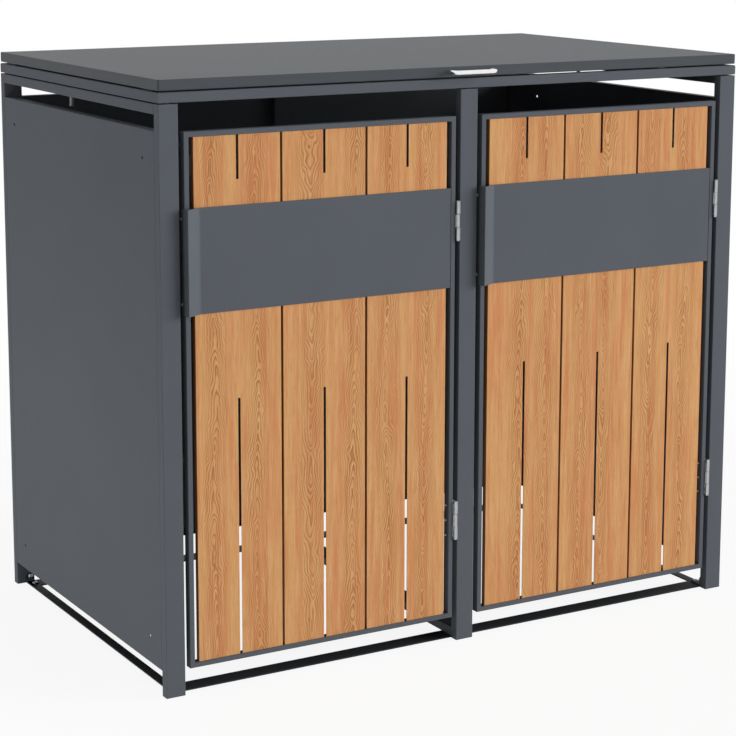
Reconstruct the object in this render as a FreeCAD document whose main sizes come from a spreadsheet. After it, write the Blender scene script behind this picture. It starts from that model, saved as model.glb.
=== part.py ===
import FreeCAD, Part
import os
import re
import Sketcher

# Wheelie bin store for two bins: a steel frame with sheet sides and back, two timber doors and a lid.
# The store stands on z = 0, with x along its front and y from its front to its back.
# Places are counted from the left, front, bottom corner of the body, and "place" moves them to the origin.

# Driving dimensions, in millimetres

sizes = [
    ("store_width", 1360, "outer width of the body"),
    ("store_depth", 820, "outer depth of the body"),
    ("post_width", 40, "post, along the front"),
    ("post_depth", 20, "post, front to back"),
    ("post_height", 1148, "post, from the ground"),
    ("tube_wall", 1.5, "wall of every steel tube"),
    ("tube_side", 20, "side of the square tubes"),
    ("spacer_height", 2, "washer between a post and the top ring"),
    ("spacer_radius", 7, "washer between a post and the top ring"),
    ("plug_height", 12, "end plug inside a post"),
    ("plug_clearance", 0.1, "play of an end plug in its post"),
    ("slot_height", 30, "open slot above the side and back panels"),
    ("panel_bottom", 50, "height of the panels' lower edge"),
    ("panel_sheet", 1.5, "thickness of the panel sheet"),
    ("panel_hole_radius", 3, "fixing hole in a side panel"),
    ("panel_hole_inset", 55, "fixing hole, from a side panel's edges"),
    ("flat_thickness", 3, "flat bars of the base frame"),
    ("flat_width", 40, "front and back flat bars"),
    ("side_flat_width", 20, "left and right flat bars"),
    ("bracket_sheet", 3, "corner bracket of the base frame"),
    ("bracket_height", 19, "corner bracket, up the post"),
    ("bracket_length", 34, "corner bracket, along the base frame"),
    ("bracket_screw_inset", 7, "bracket screws, from the bracket's ends"),
    ("bracket_screw_radius", 3, "shank of a bracket screw"),
    ("bracket_head_radius", 6, "head of a bracket screw"),
    ("bracket_head_height", 2.5, "head of a bracket screw"),
    ("door_gap", 11, "gap between a door and its posts"),
    ("door_bottom", 52, "height of the doors' lower edge"),
    ("door_headroom", 53, "doors' upper edge, below the top of the posts"),
    ("frame_face", 10, "door frame, seen from the front"),
    ("board_side_gap", 10, "gap between the outer boards and the frame"),
    ("board_gap", 5, "gap between two boards"),
    ("board_thickness", 12, "thickness of a board"),
    ("board_recess", 2, "boards, behind the front of the frame"),
    ("groove_width", 5, "slot along the middle of a board"),
    ("upper_groove", 85, "length of the slot from a board's top"),
    ("lower_groove", 514, "length of the slot from a board's bottom"),
    ("groove_land", 1, "straight part of a slot, behind the board's face"),
    ("groove_splay", 12, "slot's back, wider than its front on each side"),
    ("batten_height", 40, "steel batten behind the boards"),
    ("batten_thickness", 3, "steel batten behind the boards"),
    ("batten_drop", 65, "upper batten's middle, below the door's upper edge"),
    ("band_drop", 144, "steel band, below the door's upper edge"),
    ("band_height", 203, "height of the steel band"),
    ("band_sheet", 2, "thickness of the steel band"),
    ("band_end_gap", 1, "band, from the hinge stile"),
    ("grip_reach", 18, "grip ridge, in front of the door"),
    ("grip_flare", 30, "grip, from the stile's outer face to the flat band"),
    ("grip_screw_inset", 20, "grip screws, from the band's edges"),
    ("hinge_length", 80, "length of every hinge"),
    ("lower_hinge", 168, "lower door hinge, above the door's lower edge"),
    ("upper_hinge", 171, "upper door hinge, below the door's upper edge"),
    ("leaf_sheet", 2, "hinge leaf"),
    ("leaf_start", 3, "door hinge leaf, behind the front face"),
    ("leaf_width", 14, "door hinge leaf, front to back"),
    ("lid_leaf_width", 15, "lid hinge leaf, up or down its face"),
    ("leaf_screw_inset", 16, "lid hinge screws, from the ends of the leaf"),
    ("door_screw_inset", 8, "outer door hinge screws, from the ends of the leaf"),
    ("knuckle_radius", 4, "hinge knuckle"),
    ("knuckle_play", 0.5, "gap around a knuckle"),
    ("neck_lap", 1, "how far a leaf's neck reaches into its knuckle"),
    ("pin_radius", 2, "hinge pin"),
    ("pin_clearance", 0.05, "play of a pin in its knuckle"),
    ("pin_cap_radius", 3.5, "head of a hinge pin"),
    ("pin_cap_height", 1.5, "head of a hinge pin"),
    ("door_pin_forward", 2, "door hinge axis, in front of the body"),
    ("lid_pin_back", 5, "lid hinge axis, behind the body"),
    ("lid_hinge_inset", 140, "outer lid hinges, from the body's sides"),
    ("stop_sheet", 2, "door stop plate"),
    ("stop_height", 25, "door stop plate"),
    ("stop_hold", 15, "door stop plate, on the post"),
    ("stop_lap", 12, "door stop plate, behind the free stile"),
    ("low_stop_rise", 400, "lower door stop, above the door's lower edge"),
    ("high_stop_drop", 12, "upper door stop, below the door's upper edge"),
    ("magnet_radius", 5, "catch magnet"),
    ("magnet_height", 1.5, "catch magnet"),
    ("magnet_play", 0.5, "gap between a catch magnet and the door"),
    ("lid_gap", 3, "height of the lid over the top ring"),
    ("lid_height", 21, "height of the lid's rim"),
    ("lid_sheet", 1.5, "thickness of the lid sheet"),
    ("lid_lip", 12, "inward lip at the bottom of the lid's rim"),
    ("rib_width", 40, "stiffening tube under the lid"),
    ("rib_height", 15, "stiffening tube under the lid"),
    ("rib_centre", 41, "outer stiffening tubes, from the body's sides"),
    ("bumper_width", 10, "rubber pad on the top ring"),
    ("bumper_length", 40, "rubber pad on the top ring"),
    ("bumper_inset", 4, "rubber pad, from the body's sides"),
    ("guide_radius", 4.5, "guide pin under the lid"),
    ("guide_length", 77.5, "guide pin under the lid"),
    ("guide_back", 518, "guide pin, from the body's front"),
    ("tip_radius", 5.5, "flared tip of a guide pin"),
    ("tip_height", 4, "flared tip of a guide pin"),
    ("handle_width", 104, "bow handle on the lid"),
    ("handle_reach", 31, "bow handle, in front of the body"),
    ("handle_radius", 4.5, "bar of the bow handle"),
    ("handle_bend", 8, "bend of the bow handle, to the bar's centre"),
    ("screw_radius", 2, "shank of a small screw"),
    ("screw_grip", 3.5, "small screw, past the sheets it holds"),
    ("head_radius", 4, "head of a small screw"),
    ("head_height", 1.8, "head of a small screw"),
    ("grip_head_radius", 3, "head of a grip screw"),
    ("board_screw_depth", 8, "board screws, into the board"),
    ("board_screw_inset", 40, "board screws, from a board's sides"),
]

document = FreeCAD.newDocument("wheelie_bin_store")
sheet = document.addObject("Spreadsheet::Sheet", "sizes")
for row, (alias, number, note) in enumerate(sizes, start=1):
    sheet.set(f"A{row}", alias)
    sheet.set(f"B{row}", str(number))
    sheet.set(f"C{row}", note)
    sheet.setAlias(f"B{row}", alias)
document.recompute()

# Places and sizes that follow from the driving ones, as formulas

origin_x = "-store_width / 2"
origin_y = "(handle_reach - store_depth - lid_pin_back - knuckle_radius) / 2"
ring_bottom = "(post_height + spacer_height)"
ring_top = f"({ring_bottom} + tube_side)"
lid_bottom = f"({ring_top} + lid_gap)"
lid_middle = f"({lid_bottom} + lid_height / 2)"
lid_top = f"({lid_bottom} + lid_height)"
panel_top = "(post_height - tube_side - slot_height)"
panel_height = f"({panel_top} - panel_bottom)"
between_posts = "(store_depth - 2 * post_depth)"
bay_width = "((store_width - 3 * post_width) / 2)"
door_width = f"({bay_width} - 2 * door_gap)"
door_top = "(post_height - door_headroom)"
door_height = f"({door_top} - door_bottom)"
middle_post = "((store_width - post_width) / 2)"
right_post = "(store_width - post_width)"
back_post = "(store_depth - post_depth)"
frame_depth = "(post_depth - magnet_height - magnet_play)"
board_width = f"(({door_width} - 2 * frame_face - 2 * board_side_gap - 2 * board_gap) / 3)"
board_height = f"({door_height} - 2 * frame_face)"
board_back = "(board_recess + board_thickness)"
batten_back = f"({board_back} + batten_thickness)"
band_bottom = f"({door_top} - band_drop - band_height)"
knuckle_length = "((hinge_length - 2 * knuckle_play) / 3)"
knuckle_step = f"({knuckle_length} + knuckle_play)"
knuckle_reach = "(knuckle_radius + knuckle_play)"
bore_radius = "(pin_radius + pin_clearance)"
lid_pin_y = "(store_depth + lid_pin_back)"
lid_pin_z = f"({ring_top} + lid_gap / 2)"

columns = {"left": "0", "middle": middle_post, "right": right_post}
bay_starts = {"left": "post_width", "right": f"({middle_post} + post_width)"}
hinge_posts = {"left": "post_front_middle", "right": "post_front_right"}
hinge_bottoms = {"lower": "(door_bottom + lower_hinge)", "upper": f"({door_top} - upper_hinge - hinge_length)"}
batten_heights = {"upper": f"({door_top} - batten_drop)", "lower": f"({band_bottom} + band_height / 2)"}
lid_hinge_starts = {
    "left": "lid_hinge_inset",
    "middle": "((store_width - hinge_length) / 2)",
    "right": "(store_width - lid_hinge_inset - hinge_length)",
}
side_flats = {"left": "tube_side", "right": "(store_width - tube_side - side_flat_width)"}

turns = {
    "+z": FreeCAD.Rotation(),
    "-z": FreeCAD.Rotation(FreeCAD.Vector(1, 0, 0), 180),
    "+y": FreeCAD.Rotation(FreeCAD.Vector(1, 0, 0), -90),
    "-y": FreeCAD.Rotation(FreeCAD.Vector(1, 0, 0), 90),
    "+x": FreeCAD.Rotation(FreeCAD.Vector(0, 1, 0), 90),
    "-x": FreeCAD.Rotation(FreeCAD.Vector(0, 1, 0), -90),
}
opposite = {"+x": "-x", "-x": "+x", "+y": "-y", "-y": "+y", "+z": "-z"}

nodes = {}
screw_shanks = {}
sheet_word = re.compile(r"[a-z]+(?:_[a-z]+)+")

# Tools that place simple solids from formulas


def in_sheet(text):
    return sheet_word.sub(lambda found: "sizes." + found.group(0), text)


def bind(thing, property_name, text):
    thing.setExpression(property_name, in_sheet(text))


def place(thing, x, y, z):
    bind(thing, "Placement.Base.x", f"{origin_x} + {x}")
    bind(thing, "Placement.Base.y", f"{origin_y} + {y}")
    bind(thing, "Placement.Base.z", z)


def box(name, x, y, z, length, width, height):
    solid = document.addObject("Part::Box", name)
    bind(solid, "Length", length)
    bind(solid, "Width", width)
    bind(solid, "Height", height)
    place(solid, x, y, z)
    return solid


def rod(name, direction, x, y, z, radius, length):
    solid = document.addObject("Part::Cylinder", name)
    solid.Placement = FreeCAD.Placement(FreeCAD.Vector(), turns[direction])
    bind(solid, "Radius", radius)
    bind(solid, "Height", length)
    place(solid, x, y, z)
    return solid


def cut(name, base, tool):
    result = document.addObject("Part::Cut", name)
    result.Base = base
    result.Tool = tool
    return result


def fuse(name, members):
    result = document.addObject("Part::MultiFuse", name)
    result.Shapes = members
    return result


def group(name, members):
    result = document.addObject("Part::Compound", name)
    result.Links = members
    return result


def tube(name, axis, x, y, z, length, width, height):
    start = {"x": x, "y": y, "z": z}
    size = {"x": length, "y": width, "z": height}
    for side in "xyz":
        if side != axis:
            start[side] = f"{start[side]} + tube_wall"
            size[side] = f"{size[side]} - 2 * tube_wall"
    outer = box(name + "_outer", x, y, z, length, width, height)
    inner = box(name + "_inner", start["x"], start["y"], start["z"], size["x"], size["y"], size["z"])
    return cut(name + "_tube", outer, inner)


def screw(name, direction, x, y, z, through, depth, kind=("screw_radius", "head_radius", "head_height")):
    shank_radius, head_radius, head_height = kind
    head = rod(name + "_head", direction, x, y, z, head_radius, head_height)
    shank = rod(name + "_shank", opposite[direction], x, y, z, shank_radius, depth)
    for label in through:
        screw_shanks.setdefault(label, []).append(shank)
    return fuse(name, [head, shank])


# Pads whose outline is a closed run of straight lines, each corner held by two dimensions


def outline_pad(name, role, x, y, z, corners, thickness):
    body = document.addObject("PartDesign::Body", name + "_body")
    place(body, x, y, z)
    sketch = body.newObject("Sketcher::SketchObject", name + "_outline")
    plane = next(feature for feature in body.Origin.OriginFeatures if feature.Role == role)
    sketch.AttachmentSupport = (plane, [""])
    sketch.MapMode = "FlatFace"
    count = len(corners)
    rough = [FreeCAD.Vector(10 * corner, 7 * corner * corner, 0) for corner in range(count)]
    for corner in range(count):
        sketch.addGeometry(Part.LineSegment(rough[corner], rough[(corner + 1) % count]), False)
    for corner in range(count):
        sketch.addConstraint(Sketcher.Constraint("Coincident", corner, 2, (corner + 1) % count, 1))
    for corner, (across, up) in enumerate(corners):
        hold_corner(sketch, "DistanceX", -2, corner, across)
        hold_corner(sketch, "DistanceY", -1, corner, up)
    pad = body.newObject("PartDesign::Pad", name + "_pad")
    pad.Profile = sketch
    pad.Reversed = role == "XZ_Plane"
    bind(pad, "Length", thickness)
    return body


def hold_corner(sketch, kind, axis, corner, text):
    if text == "0":
        sketch.addConstraint(Sketcher.Constraint("PointOnObject", corner, 1, axis))
        return
    index = sketch.addConstraint(Sketcher.Constraint(kind, -1, 1, corner, 1, 10.0 + corner))
    sketch.setExpression(f"Constraints[{index}]", in_sheet(text))


# Four tubes mitred into a frame, either flat on the xy plane or upright on the xz plane


def mitred_frame(name, role, x, y, z, length, height, face, depth):
    wall = "tube_wall"
    inner_y = f"{y} + {wall}" if role == "XZ_Plane" else y
    inner_z = f"{z} + {wall}" if role == "XY_Plane" else z
    outer_edge = ("0", length, height)
    inner_edge = (wall, f"{length} - {wall}", f"{height} - {wall}")
    outer_turn = (face, f"{length} - {face}", f"{height} - {face}")
    inner_turn = (f"{face} - {wall}", f"{length} - {face} + {wall}", f"{height} - {face} + {wall}")
    outer = mitred_bars(name + "_outer", role, x, y, z, outer_edge, outer_turn, depth)
    inner = mitred_bars(name + "_inner", role, x, inner_y, inner_z, inner_edge, inner_turn, f"{depth} - 2 * {wall}")
    return {side: cut(f"{name}_{side}_tube", outer[side], inner[side]) for side in outer}


def mitred_bars(name, role, x, y, z, edge, turn, depth):
    low, right, high = edge
    low_turn, right_turn, high_turn = turn
    corners = {
        "first": [(low, low), (right, low), (right_turn, low_turn), (low_turn, low_turn)],
        "last": [(low, high), (low_turn, high_turn), (right_turn, high_turn), (right, high)],
        "left": [(low, low), (low_turn, low_turn), (low_turn, high_turn), (low, high)],
        "right": [(right, low), (right, high), (right_turn, high_turn), (right_turn, low_turn)],
    }
    return {side: outline_pad(f"{name}_{side}", role, x, y, z, corners[side], depth) for side in corners}


# Posts, with an end plug at both ends and a washer on top


def make_posts():
    plugs = []
    washers = []
    for row_name, y in (("front", "0"), ("back", back_post)):
        for column, x in columns.items():
            label = f"post_{row_name}_{column}"
            nodes[label] = tube(label, "z", x, y, "0", "post_width", "post_depth", "post_height")
            plugs.append(make_plug(label + "_foot_plug", x, y, "0"))
            plugs.append(make_plug(label + "_top_plug", x, y, "post_height - plug_height"))
            middle_x = f"{x} + post_width / 2"
            middle_y = f"{y} + post_depth / 2"
            washers.append(
                rod(label + "_washer", "+z", middle_x, middle_y, "post_height", "spacer_radius", "spacer_height")
            )
    nodes["post_plugs"] = group("plug_group", plugs)
    nodes["ring_washers"] = group("washer_group", washers)


def make_plug(name, x, y, z):
    inset = "(tube_wall + plug_clearance)"
    length = f"post_width - 2 * {inset}"
    width = f"post_depth - 2 * {inset}"
    return box(name, f"{x} + {inset}", f"{y} + {inset}", z, length, width, "plug_height")


# Mitred top ring, and the rails between the posts under it


def make_top():
    ring = mitred_frame(
        "ring", "XY_Plane", "0", "0", ring_bottom, "store_width", "store_depth", "tube_side", "tube_side"
    )
    nodes["ring_front"] = ring["first"]
    nodes["ring_back"] = ring["last"]
    nodes["ring_left"] = ring["left"]
    nodes["ring_right"] = ring["right"]
    rail_z = "(post_height - tube_side)"
    for side, x in (("left", "0"), ("right", "(store_width - tube_side)")):
        label = "side_rail_" + side
        nodes[label] = tube(label, "y", x, "post_depth", rail_z, "tube_side", between_posts, "tube_side")
    for side, x in bay_starts.items():
        label = "back_rail_" + side
        rail_y = "(store_depth - tube_side)"
        nodes[label] = tube(label, "x", x, rail_y, rail_z, bay_width, "tube_side", "tube_side")


# Sheet panels: trays with their folded edges turned inwards, the side ones with a hole in each corner


def make_panels():
    far_side = "(store_width - tube_side)"
    hollow_depth = f"{between_posts} - 2 * panel_sheet"
    hollow_height = f"{panel_height} - 2 * panel_sheet"
    for side, x, hollow_x, sheet_x in (
        ("left", "0", "panel_sheet", "0"),
        ("right", far_side, far_side, "store_width - panel_sheet"),
    ):
        label = "side_panel_" + side
        outer = box(label + "_outer", x, "post_depth", "panel_bottom", "tube_side", between_posts, panel_height)
        hollow_y = "post_depth + panel_sheet"
        hollow_z = "panel_bottom + panel_sheet"
        width = "tube_side - panel_sheet"
        hollow = box(label + "_hollow", hollow_x, hollow_y, hollow_z, width, hollow_depth, hollow_height)
        holes = []
        for level, z in (("low", "panel_bottom + panel_hole_inset"), ("high", f"{panel_top} - panel_hole_inset")):
            for end, y in (("front", "post_depth + panel_hole_inset"), ("back", f"{back_post} - panel_hole_inset")):
                name = f"{label}_{level}_{end}_hole"
                holes.append(rod(name, "+x", sheet_x, y, z, "panel_hole_radius", "panel_sheet"))
        nodes[label] = cut(label + "_pierced", cut(label + "_tray", outer, hollow), group(label + "_holes", holes))
    for side, x in bay_starts.items():
        label = "back_panel_" + side
        outer = box(label + "_outer", x, back_post, "panel_bottom", bay_width, "post_depth", panel_height)
        hollow_x = f"{x} + panel_sheet"
        hollow_z = "panel_bottom + panel_sheet"
        length = f"{bay_width} - 2 * panel_sheet"
        depth = "post_depth - panel_sheet"
        hollow = box(label + "_hollow", hollow_x, back_post, hollow_z, length, depth, hollow_height)
        nodes[label] = cut(label + "_tray", outer, hollow)


# Base frame: four flat bars on the ground, a tube across the middle and brackets in the corners


def make_base():
    length = "store_width - 2 * tube_side"
    back_y = "(store_depth - post_depth - flat_width)"
    side_y = "(post_depth + flat_width)"
    side_length = f"{between_posts} - 2 * flat_width"
    thick = "flat_thickness"
    nodes["base_flat_front"] = box("flat_front", "tube_side", "post_depth", "0", length, "flat_width", thick)
    nodes["base_flat_back"] = box("flat_back", "tube_side", back_y, "0", length, "flat_width", thick)
    for side, x in side_flats.items():
        nodes["base_flat_" + side] = box("flat_" + side, x, side_y, "0", "side_flat_width", side_length, thick)
    nodes["base_tube_middle"] = tube(
        "base_middle", "y", middle_post, "post_depth", thick, "post_width", between_posts, "tube_side"
    )


def make_brackets():
    brackets = []
    screws = []
    kind = ("bracket_screw_radius", "bracket_head_radius", "bracket_head_height")
    for column, x in side_flats.items():
        screw_x = f"{x} + side_flat_width / 2"
        for row_name, post_face, sense, direction in (
            ("front", "post_depth", "+", "+y"),
            ("back", back_post, "-", "-y"),
        ):
            name = f"bracket_{row_name}_{column}"
            back_shift = {"+": ("0", "0"), "-": ("bracket_sheet", "bracket_length")}[sense]
            upright_y = f"{post_face} - {back_shift[0]}"
            foot_y = f"{post_face} - {back_shift[1]}"
            sheet_size = "bracket_sheet"
            width = "side_flat_width"
            z = "flat_thickness"
            upright = box(name + "_upright", x, upright_y, z, width, sheet_size, "bracket_height")
            foot = box(name + "_foot", x, foot_y, z, width, "bracket_length", sheet_size)
            brackets.append(fuse(name, [upright, foot]))
            head_y = f"{post_face} {sense} bracket_sheet"
            head_z = "flat_thickness + bracket_height - bracket_screw_inset"
            through = ["base_brackets", f"post_{row_name}_{column}"]
            depth = "bracket_sheet + tube_wall"
            screws.append(screw(name + "_post_screw", direction, screw_x, head_y, head_z, through, depth, kind))
            head_y = f"{post_face} {sense} (bracket_length - bracket_screw_inset)"
            head_z = "flat_thickness + bracket_sheet"
            through = ["base_brackets", "base_flat_" + row_name]
            depth = "bracket_sheet + flat_thickness"
            screws.append(screw(name + "_flat_screw", "+z", screw_x, head_y, head_z, through, depth, kind))
    nodes["base_brackets"] = group("bracket_group", brackets)
    return screws


# Door hinges: two leaves in the gap beside the post, with interleaved knuckles on one pin


def make_door_leaf(name, segments, pin_x, plate_x, neck_x, bottom):
    members = [box(name + "_plate", plate_x, "leaf_start", bottom, "leaf_sheet", "leaf_width", "hinge_length")]
    pin_y = "-door_pin_forward"
    for segment in segments:
        z = f"{bottom} + {segment} * {knuckle_step}"
        neck_length = "leaf_sheet + neck_lap"
        neck_width = "door_pin_forward + leaf_start"
        members.append(rod(f"{name}_knuckle_{segment}", "+z", pin_x, pin_y, z, "knuckle_radius", knuckle_length))
        members.append(box(f"{name}_neck_{segment}", neck_x, pin_y, z, neck_length, neck_width, knuckle_length))
    bore = rod(name + "_bore", "+z", pin_x, pin_y, bottom, bore_radius, "hinge_length")
    return cut(name, fuse(name + "_solid", members), bore)


def leaf_screws(name, direction, face_x, bottom, through, depth):
    screws = []
    for number, inset in enumerate(("door_screw_inset", "hinge_length / 2", "hinge_length - door_screw_inset")):
        z = f"{bottom} + {inset}"
        y = "leaf_start + leaf_width / 2"
        screws.append(screw(f"{name}_screw_{number}", direction, face_x, y, z, through, depth))
    return screws


def make_door_hinges():
    post_leaves = []
    pins = []
    post_screws = []
    door_screws = {}
    for side, bay in bay_starts.items():
        post_face = f"({bay} + {bay_width})"
        door_face = f"({post_face} - door_gap)"
        pin_x = f"({post_face} - door_gap / 2)"
        door_leaves = []
        door_screws[side] = []
        for level, bottom in hinge_bottoms.items():
            name = f"{side}_{level}_post_leaf"
            plate_x = f"({post_face} - leaf_sheet)"
            post_leaves.append(make_door_leaf(name, (0, 2), pin_x, plate_x, f"{plate_x} - neck_lap", bottom))
            through = ["door_hinge_post_leaves", hinge_posts[side]]
            post_screws += leaf_screws(name, "-x", plate_x, bottom, through, "leaf_sheet + screw_grip")
            name = f"{side}_{level}_door_leaf"
            door_leaves.append(make_door_leaf(name, (1,), pin_x, door_face, door_face, bottom))
            through = [side + "_door_hinge_leaves", side + "_door_stile_right"]
            depth = "leaf_sheet + frame_face + screw_grip"
            door_screws[side] += leaf_screws(name, "+x", f"{door_face} + leaf_sheet", bottom, through, depth)
            pins.append(make_door_pin(f"{side}_{level}_pin", pin_x, bottom))
        nodes[side + "_door_hinge_leaves"] = group(side + "_leaf_group", door_leaves)
    nodes["door_hinge_post_leaves"] = group("post_leaf_group", post_leaves)
    nodes["door_hinge_pins"] = group("door_pin_group", pins)
    return post_screws, door_screws


def make_door_pin(name, x, z):
    y = "-door_pin_forward"
    shank = rod(name + "_shank", "+z", x, y, z, "pin_radius", "hinge_length")
    low_cap = rod(name + "_low_cap", "-z", x, y, z, "pin_cap_radius", "pin_cap_height")
    high_cap = rod(name + "_high_cap", "+z", x, y, f"{z} + hinge_length", "pin_cap_radius", "pin_cap_height")
    return fuse(name, [shank, low_cap, high_cap])


# Lid hinges: one leaf on the back of the top ring and one on the back of the lid's rim


def make_lid_leaf(name, segments, x, plate_z, neck_z):
    members = [box(name + "_plate", x, "store_depth", plate_z, "hinge_length", "leaf_sheet", "lid_leaf_width")]
    for segment in segments:
        start = f"{x} + {segment} * {knuckle_step}"
        neck_width = "lid_pin_back - knuckle_radius + neck_lap"
        knuckle = rod(
            f"{name}_knuckle_{segment}", "+x", start, lid_pin_y, lid_pin_z, "knuckle_radius", knuckle_length
        )
        neck = box(f"{name}_neck_{segment}", start, "store_depth", neck_z, knuckle_length, neck_width, knuckle_reach)
        members += [knuckle, neck]
    bore = rod(name + "_bore", "+x", x, lid_pin_y, lid_pin_z, bore_radius, "hinge_length")
    return cut(name, fuse(name + "_solid", members), bore)


def make_lid_hinges():
    leaves = {"ring": [], "lid": []}
    screws = {"ring": [], "lid": []}
    pins = []
    low_neck = f"({lid_pin_z} - {knuckle_reach})"
    low_plate = f"({low_neck} - lid_leaf_width)"
    high_plate = f"({lid_pin_z} + {knuckle_reach})"
    for place_name, x in lid_hinge_starts.items():
        for owner, segments, plate_z, neck_z, through, wall in (
            ("ring", (0, 2), low_plate, low_neck, ["lid_hinge_ring_leaves", "ring_back"], "tube_wall"),
            ("lid", (1,), high_plate, lid_pin_z, ["lid_hinge_leaves", "lid_tray"], "lid_sheet"),
        ):
            name = f"lid_hinge_{place_name}_{owner}"
            leaves[owner].append(make_lid_leaf(name, segments, x, plate_z, neck_z))
            for number, inset in enumerate(("leaf_screw_inset", "hinge_length - leaf_screw_inset")):
                head_z = f"{plate_z} + lid_leaf_width / 2"
                face = "store_depth + leaf_sheet"
                depth = f"leaf_sheet + {wall}"
                screws[owner].append(
                    screw(f"{name}_screw_{number}", "+y", f"{x} + {inset}", face, head_z, through, depth)
                )
        pins.append(make_lid_pin(f"lid_pin_{place_name}", x))
    nodes["lid_hinge_ring_leaves"] = group("ring_leaf_group", leaves["ring"])
    nodes["lid_hinge_leaves"] = group("lid_leaf_group", leaves["lid"])
    nodes["lid_hinge_pins"] = group("lid_pin_group", pins)
    return screws


def make_lid_pin(name, x):
    shank = rod(name + "_shank", "+x", x, lid_pin_y, lid_pin_z, "pin_radius", "hinge_length")
    low_cap = rod(name + "_low_cap", "-x", x, lid_pin_y, lid_pin_z, "pin_cap_radius", "pin_cap_height")
    high_x = f"{x} + hinge_length"
    high_cap = rod(name + "_high_cap", "+x", high_x, lid_pin_y, lid_pin_z, "pin_cap_radius", "pin_cap_height")
    return fuse(name, [shank, low_cap, high_cap])


# Door stops with their catch magnets, on the posts behind the free stiles


def make_stops():
    stops = []
    magnets = []
    length = "stop_hold + door_gap + stop_lap"
    for side, bay in bay_starts.items():
        for level, z in (
            ("low", "(door_bottom + low_stop_rise)"),
            ("high", f"({door_top} - high_stop_drop - stop_height)"),
        ):
            name = f"{side}_{level}_stop"
            stops.append(box(name, f"{bay} - stop_hold", "post_depth", z, length, "stop_sheet", "stop_height"))
            magnet_x = f"{bay} + door_gap + frame_face / 2"
            magnet_z = f"{z} + stop_height / 2"
            magnets.append(
                rod(name + "_magnet", "-y", magnet_x, "post_depth", magnet_z, "magnet_radius", "magnet_height")
            )
    nodes["door_stops"] = group("stop_group", stops)
    nodes["catch_magnets"] = group("magnet_group", magnets)


# Doors: a mitred tube frame, three boards on two battens and a steel band folded into a grip


def make_door(side, hinge_screws):
    label = side + "_door"
    left = f"({bay_starts[side]} + door_gap)"
    inner_x = f"({left} + frame_face)"
    inner_width = f"({door_width} - 2 * frame_face)"
    frame = mitred_frame(
        label, "XZ_Plane", left, "0", "door_bottom", door_width, door_height, "frame_face", frame_depth
    )
    nodes[label + "_stile_left"] = frame["left"]
    nodes[label + "_stile_right"] = frame["right"]
    nodes[label + "_rails"] = group(label + "_rail_group", [frame["first"], frame["last"]])
    battens = []
    for level, height in batten_heights.items():
        z = f"{height} - batten_height / 2"
        name = f"{label}_{level}_batten"
        battens.append(box(name, inner_x, board_back, z, inner_width, "batten_thickness", "batten_height"))
    nodes[label + "_battens"] = group(label + "_batten_group", battens)
    board_screws = make_boards(label, f"({inner_x} + board_side_gap)")
    grip_screws = make_band(label, left)
    nodes[label + "_screws"] = group(label + "_screw_group", hinge_screws + board_screws + grip_screws)


def make_boards(label, first_x):
    groove_left = f"({board_width} - groove_width) / 2"
    groove_right = f"({board_width} + groove_width) / 2"
    corners = [
        ("0", "0"),
        (groove_left, "0"),
        (groove_left, "lower_groove"),
        (groove_right, "lower_groove"),
        (groove_right, "0"),
        (board_width, "0"),
        (board_width, board_height),
        (groove_right, board_height),
        (groove_right, f"{board_height} - upper_groove"),
        (groove_left, f"{board_height} - upper_groove"),
        (groove_left, board_height),
        ("0", board_height),
    ]
    splay_depth = "board_thickness - groove_land"
    splay_corners = [
        (groove_left, "0"),
        (groove_right, "0"),
        (f"{groove_right} + groove_splay", splay_depth),
        (f"{groove_left} - groove_splay", splay_depth),
    ]
    screws = []
    for number, name in enumerate(("left", "middle", "right")):
        board = f"{label}_board_{name}"
        x = f"{first_x} + {number} * ({board_width} + board_gap)"
        z = "door_bottom + frame_face"
        blank = outline_pad(board, "XZ_Plane", x, "board_recess", z, corners, "board_thickness")
        splays = []
        for end, low, length in (
            ("low", z, "lower_groove"),
            ("high", f"{z} + {board_height} - upper_groove", "upper_groove"),
        ):
            splay_y = "board_recess + groove_land"
            splays.append(
                outline_pad(f"{board}_{end}_splay", "XY_Plane", x, splay_y, low, splay_corners, length)
            )
        nodes[board] = cut(board + "_splayed", blank, group(board + "_splays", splays))
        for level, height in batten_heights.items():
            for edge, inset in (("left", "board_screw_inset"), ("right", f"{board_width} - board_screw_inset")):
                screw_name = f"{board}_{level}_screw_{edge}"
                through = [label + "_battens", board]
                depth = "batten_thickness + board_screw_depth"
                screws.append(screw(screw_name, "+y", f"{x} + {inset}", batten_back, height, through, depth))
    return screws


def make_band(label, left):
    angle = "atan(grip_reach / (grip_flare + band_sheet))"
    end_x = f"({door_width} - frame_face - band_end_gap + band_sheet)"
    back_y = f"grip_reach + {frame_depth}"
    corners = [
        (end_x, "grip_reach"),
        ("grip_flare + band_sheet", "grip_reach"),
        ("0", "0"),
        ("0", back_y),
        ("band_sheet", back_y),
        ("band_sheet", f"band_sheet / cos({angle}) + band_sheet * tan({angle})"),
        (f"grip_flare + band_sheet - band_sheet * tan({angle} / 2)", "grip_reach + band_sheet"),
        (end_x, "grip_reach + band_sheet"),
    ]
    x = f"({left} - band_sheet)"
    band = label + "_band"
    nodes[band] = outline_pad(band, "XY_Plane", x, "-grip_reach", band_bottom, corners, "band_height")
    screws = []
    for number, inset in enumerate(("grip_screw_inset", "band_height - grip_screw_inset")):
        through = [band, label + "_stile_left"]
        kind = ("screw_radius", "grip_head_radius", "head_height")
        screw_y = f"{frame_depth} * 2 / 3"
        depth = "band_sheet + screw_grip"
        name = f"{label}_grip_screw_{number}"
        screws.append(screw(name, "-x", x, screw_y, f"{band_bottom} + {inset}", through, depth, kind))
    return screws


# Lid: a folded tray on three stiffening tubes, with two guide pins and a bow handle


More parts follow.
